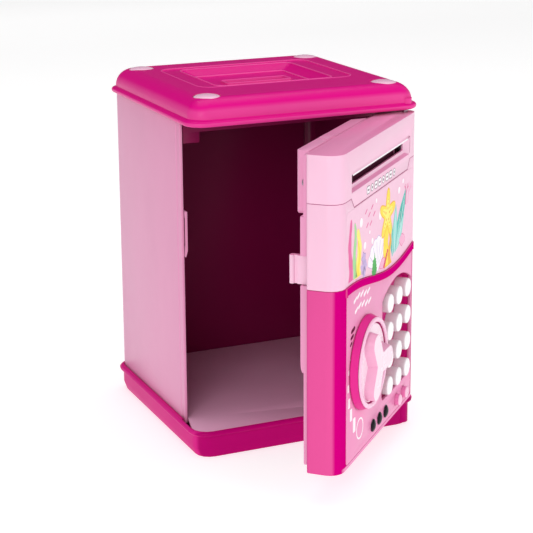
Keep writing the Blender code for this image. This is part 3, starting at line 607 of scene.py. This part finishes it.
def make_bead(name, box, radius, z, rise, width=0.55, material=None):
    """Raised moulded line on the lid's top, following a rounded box; coloured EDGE, a painted highlight,
    unless given a material.
    """
    rings = []
    for step, height in ((0.0, z - 0.6), (0.0, z + 0.7 * rise), (0.15, z + rise), (width - 0.15, z + rise),
                         (width, z + 0.7 * rise), (width, z - 0.6)):
        outline = rounded_box(*inset(box, step), max(radius - step, 0.4), 8)
        rings.append([(x, y, height) for x, y in outline])
    dress(loft_points(name, rings, True), material or EDGE, "cabinet")


def upright_prism(spot, radius, low, high):
    """Round prism used to add to the lid or to cut it."""
    return prism("tool", circle(*spot, radius, 40), low, high)


def stud_spots():
    """Centres of the lid's stud caps."""
    spots = []
    for index in range(4):
        low, high = extent(f"stud_cap_{index + 1}")
        spots.append((0.5 * (low.x + high.x), 0.5 * (low.y + high.y)))
    return spots


def make_stud_caps():
    """Four domed caps, pressed into the lid's pockets."""
    top = extent("stud_cap_1")[1].z
    dome = 1.6
    foot = top - 5.2
    slopes = [math.radians(step) for step in range(15, 91, 15)]
    profile = [(0.0, top)]
    profile += [(STUD_RADIUS * math.sin(slope), top - dome * (1.0 - math.cos(slope))) for slope in slopes]
    profile += [(STUD_RADIUS, foot), (0.0, foot)]
    for index, spot in enumerate(stud_spots()):
        cap = upright_lathe(f"stud_cap_{index + 1}_fine", profile, spot)
        dress(cap, PALE, "cabinet", [f"stud_cap_{index + 1}"])


def make_box():
    """The box's CAD nodes, each with its material and the width of its rounded edges."""
    for node, material, bevel in (
            ("base_tray", MAGENTA_BASE, 0.3), ("floor_panel", FLOOR_PINK, 0.3),
            ("left_side_panel", WALL_PINK, 0.25), ("right_side_panel", WALL_PINK, 0.25),
            ("back_panel", BACK, 0.3), ("top_frame", SHADED_FRAME, 0.3), ("strike_keeper", WALL_PINK, 0.15)):
        upgrade(node, material, bevel)
    for index in range(4):
        upgrade(f"base_screw_{index + 1}", STEEL)
        upgrade(f"cover_screw_{index + 1}", STEEL)


# ---------------------------------------------------------------- door

def make_door_shells():
    """The door's CAD nodes, and a label sheet that fills its pocket."""
    for node, material, bevel in (
            ("door_top_fascia", DOOR_PINK, 0.3), ("door_middle_fascia", DOOR_PINK, 0.3),
            ("door_lower_shell", MAGENTA_DOOR, 0.3), ("control_panel", PANEL, 0.3),
            ("keypad_tray", RIM, 0.2), ("rear_cover", REAR_PINK, 0.3),
            ("battery_cover", REAR_PINK, 0.25), ("latch", DOOR_PINK, 0.3), ("latch_cam", WHITE, 0.1),
            ("key_mat", RUBBER, 0.1), ("circuit_board", BOARD, 0.0), ("feed_bracket", PANEL, 0.1),
            ("feed_motor", STEEL, 0.0), ("motor_gear", WHITE, 0.0), ("feed_roller", ROLLER, 0.0),
            ("pinch_roller", ROLLER, 0.0), ("speaker", BLACK, 0.0), ("hinge_pin_top", STEEL, 0.0),
            ("hinge_pin_bottom", STEEL, 0.0)):
        upgrade(node, material, bevel)
    sheet = swing(front_prism("picture_label_sheet", label_outline(0.27), -0.3, 0.0))
    dress(sheet, LABEL_BASE, "door", ["picture_label"])


def label_outline(grow, count=40):
    """Outline of the picture label as (x, z), grown to fill its pocket."""
    low, high = extent("picture_label", True)
    left, right, top = low.x - grow, high.x + grow, high.z + grow
    corner = 2.4 + grow
    outline = []
    for index in range(count + 1):
        x = left + (right - left) * index / count
        inside = min(max(x, low.x + 0.05), high.x - 0.05)
        outline.append((x, label_floor(inside - FREE_END) - grow))
    for centre, first in ((right - corner, 0.0), (left + corner, 90.0)):
        for step in range(7):
            turn = math.radians(first + 15.0 * step)
            outline.append((centre + corner * math.cos(turn), top - corner + corner * math.sin(turn)))
    return outline


def make_keys():
    """Twelve keys: a dished white cap with a soft rim, and a flange that holds it behind the panel."""
    profile = [(0.0, 1.62), (2.6, 1.66), (3.9, 1.78), (4.35, 1.76), (4.75, 1.5), (4.97, 1.1),
               (5.0, 0.6), (5.0, -6.5), (6.0, -6.5), (6.0, -7.4), (0.0, -7.4)]
    for row in range(4):
        for column in range(3):
            node = f"key_{row + 1}_{column + 1}"
            key = swing(lathe(node + "_fine", profile, middle(node), 40))
            dress(key, WHITE, node, [node])


def make_dial():
    """Bezel cone, trim ring and a knob with three lobes that rise from a dished disc."""
    spot = middle("dial_bezel")
    bezel = [(20.6, 0.4), (24.0, 0.4), (24.2, 0.9), (23.6, 2.4), (23.1, 3.8), (22.9, 4.2), (20.6, 4.2)]
    item = swing(lathe("dial_bezel_fine", bezel, spot, 96, True))
    dress(item, BEZEL, "door", ["dial_bezel"])
    ring = [(20.5, 4.5), (22.9, 4.5), (22.9, 5.0), (22.6, 5.35), (22.1, 5.5), (21.4, 5.5), (20.8, 5.3),
            (20.5, 5.0)]
    item = swing(lathe("dial_ring_fine", ring, spot, 96, True))
    dress(item, PALE, "door", ["dial_ring"])
    disc = [(0.0, 4.6), (12.0, 4.5), (18.6, 4.3), (19.6, 4.2), (20.05, 3.8), (20.05, 0.5), (3.0, 0.5),
            (3.0, -15.2), (0.0, -15.2)]
    knob = lathe("dial_knob_fine", disc, spot, 96)
    levels = ((3.4, 19.3, 7.4), (4.6, 19.2, 7.1), (8.6, 18.9, 5.3), (9.0, 18.7, 5.1), (9.2, 18.4, 4.8))
    rings = [[(x, FRONT - height, z) for x, z in arms(spot, reach, half)] for height, reach, half in levels]
    carve(knob, "UNION", [loft_points("lobes", rings)])
    dress(swing(knob), KNOB_SHADED_SIDE, "dial", ["dial_knob"], 28.0)
    # The knob's front faces get the pale lit colour, painted light.
    paint_facing(knob, KNOB_LIT_TOP, FACING)


def paint_facing(item, material, direction, limit=0.8):
    """Gives a second material to the faces that look in one direction."""
    item.data.materials.append(material)
    for face in item.data.polygons:
        if face.normal.dot(direction) > limit:
            face.material_index = 1


def arms(spot, reach, half, count=144):
    """Outline of three arms with round ends, the first towards the hinge; half is half their width."""
    points = []
    for turn in turns(count):
        away = abs((turn + math.pi / 3.0) % (2.0 * math.pi / 3.0) - math.pi / 3.0)
        centre = reach - half
        across = centre * math.sin(away)
        radius = half / max(math.sin(away), 0.01)
        if centre * math.cos(away) + half > 0.0 and across < half and radius * math.cos(away) > centre:
            radius = centre * math.cos(away) + math.sqrt(half ** 2 - across ** 2)
        points.append((spot[0] + radius * math.cos(turn), spot[1] + radius * math.sin(turn)))
    return points


def make_small_controls():
    """Two function buttons and three indicator lenses, turned about their own middles."""
    button = [(0.0, 2.9), (1.4, 2.88), (2.3, 2.72), (2.85, 2.4), (3.1, 1.9), (3.1, -3.3), (4.3, -3.3),
              (4.3, -4.2), (0.0, -4.2)]
    lens = [(0.0, 1.6), (1.0, 1.52), (1.9, 1.26), (2.7, 0.9), (3.2, 0.55), (3.4, 0.3), (1.7, 0.3),
            (1.7, -4.6), (0.0, -4.6)]
    for index in range(2):
        node = f"function_button_{index + 1}"
        dress(swing(lathe(node + "_fine", button, middle(node), 32)), BUTTON, node, [node])
    for index in range(3):
        node = f"indicator_lens_{index + 1}"
        dress(swing(lathe(node + "_fine", lens, middle(node), 32)), BLACK, "door", [node])


# ---------------------------------------------------------------- prints on the door's front

LAYER = 0.03
UNDERSIDE = 0.01
# The label's wavy lower edge lies wholly below this height.
LABEL_WAVE_TOP = 115.0


class Print:
    """Flat inks on the door's front: outlines in (u, z), u from the door's free end, in thin layers."""

    def __init__(self):
        self.work = bmesh.new()
        self.inks = []

    def fill(self, outline, ink, layer=1, edge=None, width=0.35):
        """Prints an outline on a layer, with a wider edge of another ink half a layer below it."""
        if edge:
            self.fill(grown(outline, width), edge, layer - 0.5)
        if ink not in self.inks:
            self.inks.append(ink)
        low, high = [[self.work.verts.new(Vector((FREE_END + u, FRONT - level, z)) * MM) for u, z in outline]
                     for level in (UNDERSIDE, LAYER * layer)]
        faces = [self.work.faces.new(high), self.work.faces.new(list(reversed(low)))]
        for index in range(len(outline)):
            side = (low[index - 1], low[index], high[index], high[index - 1])
            faces.append(self.work.faces.new(side))
        for face in faces:
            face.material_index = self.inks.index(ink)

    def finish(self, name):
        """Makes the prints one piece that rides on the door."""
        item = swing(make_mesh(name, self.work))
        for ink in self.inks:
            item.data.materials.append(INKS[ink])
        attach(item, "door")


def grown(outline, width):
    """An outline moved outwards by a width, point by point."""
    area = sum(a[0] * b[1] - b[0] * a[1] for a, b in zip(outline, outline[1:] + outline[:1]))
    side = width if area > 0.0 else -width
    points = []
    for index, (u, z) in enumerate(outline):
        before, after = outline[index - 1], outline[(index + 1) % len(outline)]
        along = Vector((after[0] - before[0], after[1] - before[1])).normalized()
        points.append((u + side * along.y, z - side * along.x))
    return points


def star(u, z, outer, inner, tilt=90.0, points=5, steps=12):
    """Soft star: the radius swings between outer and inner."""
    outline = []
    for turn in turns(points * steps):
        wave = (0.5 + 0.5 * math.cos(points * turn)) ** 1.4
        radius = inner + (outer - inner) * wave
        angle = turn + math.radians(tilt)
        outline.append((u + radius * math.cos(angle), z + radius * math.sin(angle)))
    return outline


def ribbon(u, low, high, width, sway, phase=0.0, count=22):
    """Waving weed: a strip that narrows to its tip."""
    left, right = [], []
    for index in range(count + 1):
        part = index / count
        z = low + (high - low) * part
        middle_u = u + sway * math.sin(phase + 7.5 * part)
        half = 0.5 * width * (0.25 + 0.75 * (1.0 - part) ** 0.5) * (0.9 + 0.1 * math.cos(21.0 * part))
        left.append((middle_u - half, z))
        right.append((middle_u + half, z))
    return left + list(reversed(right))


def stroke(start, end, width_start, width_end, count=6):
    """Line with round ends and its own width at each end."""
    line = Vector((end[0] - start[0], end[1] - start[1]))
    angle = math.atan2(line.y, line.x)
    outline = []
    quarter = 0.5 * math.pi
    for spot, width, first in ((start, width_start, angle + quarter), (end, width_end, angle - quarter)):
        for index in range(count + 1):
            turn = first + math.pi * index / count
            outline.append((spot[0] + 0.5 * width * math.cos(turn), spot[1] + 0.5 * width * math.sin(turn)))
    return outline


def leaf(u, z, length, width, tilt, count=14):
    """Pointed leaf that starts at (u, z)."""
    turn = math.radians(tilt)
    sides = []
    for sign in (1.0, -1.0):
        for index in range(count):
            part = index / count if sign > 0.0 else 1.0 - index / count
            half = sign * 0.5 * width * math.sin(math.pi * part) * (1.2 - 0.4 * part)
            sides.append((u + length * part * math.cos(turn) - half * math.sin(turn),
                          z + length * part * math.sin(turn) + half * math.cos(turn)))
    return sides


def scallop(u, z, radius, tilt=90.0, ribs=6, count=48):
    """Fan shell with a scalloped edge and its hinge at (u, z)."""
    outline = [(u, z)]
    for index in range(count + 1):
        part = index / count
        angle = math.radians(tilt - 62.0 + 124.0 * part)
        reach = radius * (1.0 + 0.06 * abs(math.sin(math.pi * ribs * part)))
        outline.append((u + reach * math.cos(angle), z + reach * math.sin(angle)))
    return outline


def branch(art, u, z, length, tilt, ink, layer, depth=2):
    """Coral: a stem that forks, each fork smaller than the last."""
    turn = math.radians(tilt)
    tip = (u + length * math.cos(turn), z + length * math.sin(turn))
    art.fill(stroke((u, z), tip, 0.26 * length, 0.2 * length), ink, layer)
    if depth:
        for side in (-32.0, 24.0):
            branch(art, *tip, 0.68 * length, tilt + side, ink, layer, depth - 1)


def label_floor(u):
    """Lower edge of the picture label at a distance from the door's free end."""
    points = [SWING.inverted() @ vertex.co / MM for vertex in frame["nodes"]["picture_label"].data.vertices]
    edge = sorted({(round(point.x - FREE_END, 2), round(point.z, 2)) for point in points
                   if point.z < LABEL_WAVE_TOP})
    for first, second in zip(edge, edge[1:]):
        if first[0] <= u <= second[0] and second[0] > first[0]:
            return first[1] + (second[1] - first[1]) * (u - first[0]) / (second[0] - first[0])
    return edge[0][1]


def make_label():
    """Sea bed: weeds, corals, shells, bubbles and a large starfish on a pale ground."""
    art = Print()
    for u, width, high, ink, sway, phase in (
            (14.6, 6.6, 141.0, "rose", 1.0, 0.4), (21.4, 6.0, 138.0, "mint", 0.9, 2.0),
            (27.4, 9.4, 134.0, "lemon", 1.3, 3.4)):
        art.fill(ribbon(u, label_floor(u) + 0.6, high, width, sway, phase), ink, 2, "blush", 0.4)
    art.fill(ribbon(27.6, label_floor(27.6) + 0.9, 128.0, 4.0, 1.2, 3.4), "yellow", 3)
    for index, (u, z) in enumerate(((33.6, 112.0), (35.4, 117.0), (37.6, 113.0), (36.0, 109.6))):
        edge = "plum" if index == 1 else None
        art.fill(star(u, z, 3.6 - 0.3 * index, 2.2, 30.0 * index), "lilac", 2, edge, 0.2)
    for u, z, radius in ((31.0, 136.0, 2.4), (37.0, 123.0, 2.0), (49.0, 122.4, 1.7), (62.0, 132.6, 2.6),
                         (44.6, 128.0, 1.1), (55.0, 141.6, 1.3), (101.0, 141.6, 1.4), (94.0, 138.2, 1.9)):
        art.fill(circle(u, z, radius, 20), "white", 2, "blush", 0.3)
    for u, z in ((37.5, 139.0), (42.5, 136.4), (47.0, 139.2), (50.5, 135.0), (39.5, 131.6), (45.0, 131.4)):
        art.fill(stroke((u, z), (u + 2.6, z + 1.5), 0.8, 0.8), "rose", 2)
    make_fan_shell(art, 58.0, 104.4)
    for step in range(4):
        for side in (-1.0, 1.0):
            sprig = leaf(52.6, 103.6 + 2.1 * step, 5.4 - 0.7 * step, 2.6, 90.0 - side * 52.0)
            art.fill(sprig, "green", 2.4)
    art.fill(leaf(52.6, 104.0, 11.4, 2.4, 88.0), "green", 2.6)
    make_starfish(art, 74.0, 127.0)
    make_fronds(art)
    for u, z, radius, tilt in ((66.5, 103.6, 5.0, 105.0), (99.5, 107.0, 6.0, 80.0)):
        art.fill(scallop(u, z, radius, tilt), "blush", 3, "rose", 0.3)
    for u, tilt in ((106.0, 84.0), (110.0, 70.0)):
        branch(art, u, 128.4, 5.0, tilt, "rose" if tilt > 80.0 else "blush", 2.0)
    art.finish("label_print")


def make_fan_shell(art, u, z):
    """White fan shell with lilac ribs, its hinge at (u, z)."""
    art.fill(scallop(u, z, 17.0, 96.0), "white", 1, "lilac", 0.35)
    for index in range(5):
        angle = math.radians(52.0 + 22.0 * index)
        rib = [(u + reach * math.cos(angle), z + reach * math.sin(angle)) for reach in (4.0, 15.6)]
        art.fill(stroke(*rib, 0.3, 0.5), "lilac", 1.6)


def make_starfish(art, u, z):
    """Golden starfish above a golden sea fan with red polyps."""
    art.fill(ribbon(u - 1.0, label_floor(u) + 1.0, z + 2.0, 10.5, 1.6, 1.2), "yellow", 2, "amber", 0.5)
    art.fill(ribbon(u + 4.5, label_floor(u + 4.5) + 1.0, z - 6.0, 5.5, 1.2, 2.6), "amber", 2.4)
    art.fill(star(u, z + 3.0, 13.4, 5.6, 84.0), "yellow", 3.4, "amber", 0.55)
    art.fill(star(u, z + 3.0, 9.0, 3.4, 84.0), "lemon", 3.8)
    for index in range(5):
        angle = math.radians(84.0 + 72.0 * index)
        for reach, size in ((3.2, 0.75), (5.6, 0.6), (7.8, 0.45)):
            spot = (u + reach * math.cos(angle), z + 3.0 + reach * math.sin(angle))
            art.fill(circle(*spot, size, 12), "amber", 4.2)
    for index in range(5):
        low = label_floor(u - 3.0) + 2.0 + 1.6 * index
        art.fill(circle(u - 5.0 + 1.4 * index, low, 1.5 - 0.1 * index, 16), "red", 3.0)


def make_fronds(art):
    """Teal fronds that fan out beside the starfish."""
    for u, z, length, width, tilt, ink in (
            (86.0, 106.0, 26.0, 6.4, 84.0, "aqua"), (88.0, 106.0, 27.0, 7.0, 66.0, "teal"),
            (90.0, 107.0, 21.0, 5.6, 52.0, "aqua"), (84.0, 105.0, 20.0, 5.4, 100.0, "teal"),
            (96.0, 119.0, 20.0, 6.0, 60.0, "teal")):
        art.fill(leaf(u, z, length, width, tilt), ink, 2.2 if ink == "teal" else 2.6, "teal", 0.25)
        turn = math.radians(tilt)
        vein = (u + 0.82 * length * math.cos(turn), z + 0.82 * length * math.sin(turn))
        art.fill(stroke((u, z), vein, 0.5, 0.25), "white", 3.0)


def make_marks():
    """Plain marks: a row on the tab, bars and a ring round the dial, and dashes above it."""
    art = Print()
    low = extent("door_top_fascia", True)[0].z
    for index in range(8):
        u = 42.0 + 6.1 * index
        if index % 3 == 1:
            art.fill(circle(u, low + 3.6, 1.7, 20), "white", 2, "grey", 0.35)
            art.fill(circle(u, low + 3.6, 0.7, 14), "grey", 3)
        else:
            art.fill(rounded_box(u - 2.1, u + 2.1, low + 1.9, low + 5.3, 0.6, 3), "white", 2, "grey", 0.35)
            art.fill(rounded_box(u - 1.2, u + 1.2, low + 3.2, low + 4.0, 0.3, 2), "grey", 3)
    for index in range(3):
        u, z = 17.4 - 0.9 * index, 84.6 - 3.2 * index
        tip = (u + 4.2 - 1.1 * index, z + 0.8)
        art.fill(stroke((u, z), tip, 2.0 - 0.3 * index, 2.1 - 0.3 * index), "dark", 1)
    bars = ((15.6, 71.0), (13.5, 65.0), (12.5, 57.0), (14.0, 49.0), (17.0, 42.0), (22.0, 35.0))
    for size, (u, z) in enumerate(bars):
        half, rise = 0.5 + 0.28 * size, 0.7 + 0.62 * size
        art.fill(rounded_box(u - half, u + half, z - rise, z + rise, 0.3 + 0.08 * size, 3), "white", 1)
    ring = circle(31.0, 30.0, 5.6, 40)
    hole = grown(ring, -0.9)
    art.fill(ring + [ring[0], hole[0]] + list(reversed(hole)), "white", 1)
    for row in range(2):
        for index in range(5):
            u, z = 21.0 + 5.2 * index + 2.0 * row, 98.6 - 5.6 * row + 1.0 * math.sin(1.3 * index)
            art.fill(stroke((u, z), (u + 3.6, z + 1.4), 1.6, 1.0), "white", 1, "blush", 0.3)
    art.finish("panel_marks")


def make_seam_shadows():
    """Painted shadow in the parting line between the door's two fascias and at the note slot's end, and a
    painted highlight along the slot's top edge.
    """
    side = SHELL_HIGH.z + 0.15
    tab = extent("door_top_fascia", True)[0].z - 0.15
    shut = SWING.inverted()
    flat = [(shut @ vertex.co / MM).xy for vertex in frame["nodes"]["door_middle_fascia"].data.vertices]
    hull = [tuple(flat[index]) for index in convex_hull_2d(flat)]
    rings = [[(x, y, z) for x, y in grown(hull, -depth)] for depth, z in
             ((0.12, side - 0.12), (0.12, side + 0.12), (0.9, side + 0.12), (0.9, side - 0.12))]
    band = swing(loft_points("seam_shadow_band", rings, True))
    dress(band, INKS["seam"], "door")
    line = ((15.6, side), (20.0, tab), (109.0, tab), (112.5, side))
    work = Print()
    # A painted highlight along the note slot's top edge; the dark lines are painted shadow.
    work.fill(rounded_box(17.6, 108.4, 162.0, 162.8, 0.35, 3), "white", 2)
    work.fill(rounded_box(112.0, 112.5, 154.4, 163.4, 0.2, 2), "seam", 1)
    work.fill(stroke((108.4, 162.6), (112.2, 163.4), 0.5, 0.4, 3), "seam", 1)
    for first, second in zip(line, line[1:]):
        work.fill(stroke(first, second, 0.55, 0.55, 3), "seam", 1)
    work.finish("seam_shadows_and_slot_highlight")


# ---------------------------------------------------------------- stage, light, camera

IMAGE_SIDE = 533.0
CAMERA_AT = (-352.51, -808.88, 333.25)
CAMERA_TURN = (-24.16, 13.96, -0.31)
FOCAL = 1634.38
SENSOR = 36.0
SHIFT = (-0.0204, -0.1065)
FLOOR_GLOW = 0.6
FADE_FROM, FADE_TO = 0.02, 0.3
DARK_WALL = (0.1, 0.1, 0.1, 1.0)
FLOOR_NEAR, BEND_FROM, BEND_RADIUS, WALL_TOP = -3000.0, 1400.0, 900.0, 3200.0
FLOOR_HALF_WIDTH = 3500.0
AIM = (0.0, -0.05, 0.1)


def make_stage():
    """White floor that glows, curves up behind the bank and fades to a dark wall.

    The wall is dark so that its reflection doesn't wash out the magenta plastics.
    """
    profile = [(FLOOR_NEAR, 0.0), (BEND_FROM, 0.0)]
    profile += [(BEND_FROM + BEND_RADIUS * math.sin(turn), BEND_RADIUS * (1.0 - math.cos(turn)))
                for turn in (math.radians(step) for step in range(10, 91, 10))]
    profile.append((BEND_FROM + BEND_RADIUS, WALL_TOP))
    work = bmesh.new()
    lines = [[work.verts.new(Vector((side * FLOOR_HALF_WIDTH, y, z)) * MM) for y, z in profile]
             for side in (-1, 1)]
    for step in range(len(profile) - 1):
        work.faces.new((lines[0][step], lines[0][step + 1], lines[1][step + 1], lines[1][step]))
    floor = make_mesh("studio_floor", work)
    floor.data.shade_smooth()
    material = Material("studio_white")
    material.shader.inputs["Roughness"].default_value = 0.9
    material.shader.inputs["Specular IOR Level"].default_value = 0.1
    height = material.add("ShaderNodeSeparateXYZ")
    material.join(material.place, height.inputs[0])
    wall = material.spread(height.outputs["Z"], 0.0, 1.0, FADE_FROM, FADE_TO)
    grain = material.blend(material.noise(3.0), (0.62, 0.62, 0.62, 1.0), (0.66, 0.66, 0.66, 1.0))
    material.join(material.blend(wall, grain, DARK_WALL), material.shader.inputs["Base Color"])
    material.shader.inputs["Emission Color"].default_value = (1.0, 1.0, 1.0, 1.0)
    glow = material.spread(height.outputs["Z"], FLOOR_GLOW, 0.0, FADE_FROM, FADE_TO)
    material.join(glow, material.shader.inputs["Emission Strength"])
    floor.data.materials.append(material.data)


def make_light(name, place, aim, power, side):
    """Square area light, in metres and watts."""
    data = bpy.data.lights.new(name, "AREA")
    data.energy = power
    data.shape = "SQUARE"
    data.size = side
    lamp = bpy.data.objects.new(name, data)
    lamp.location = place
    lamp.rotation_euler = (Vector(aim) - Vector(place)).to_track_quat("-Z", "Y").to_euler()
    bpy.context.scene.collection.objects.link(lamp)


def make_world():
    """Soft, almost white light from all round."""
    world = bpy.data.worlds.new("studio")
    world.use_nodes = True
    background = world.node_tree.nodes["Background"]
    background.inputs["Color"].default_value = (1.0, 0.985, 0.99, 1.0)
    background.inputs["Strength"].default_value = 0.55
    bpy.context.scene.world = world


def make_camera():
    """Camera at the photograph's viewpoint, its focal length given in pixels of a square image."""
    data = bpy.data.cameras.new("photo_view")
    data.sensor_width = SENSOR
    data.lens = FOCAL * SENSOR / IMAGE_SIDE
    data.shift_x, data.shift_y = SHIFT
    data.clip_start = 0.05
    data.clip_end = 20.0
    azimuth, elevation, roll = (math.radians(value) for value in CAMERA_TURN)
    turn = Matrix.Rotation(azimuth, 4, "Z") @ Matrix.Rotation(math.radians(90.0) - elevation, 4, "X")
    turn = turn @ Matrix.Rotation(roll, 4, "Z")
    camera = bpy.data.objects.new("photo_view", data)
    camera.matrix_world = Matrix.Translation(Vector(CAMERA_AT) * MM) @ turn
    bpy.context.scene.collection.objects.link(camera)
    bpy.context.scene.camera = camera


make_camera()
make_lid()
make_stud_caps()
make_box()
make_door_shells()
make_keys()
make_dial()
make_small_controls()
make_label()
make_marks()
make_seam_shadows()
make_stage()
make_world()
make_light("key", (-1.2, -1.6, 0.9), AIM, 12.4, 1.0)
make_light("fill", (1.1, -1.5, 0.8), AIM, 7.2, 1.0)
make_light("top", (0.1, 0.3, 1.7), (0.0, 0.0, 0.1), 7.5, 1.2)
bpy.context.scene.view_settings.view_transform = "Standard"
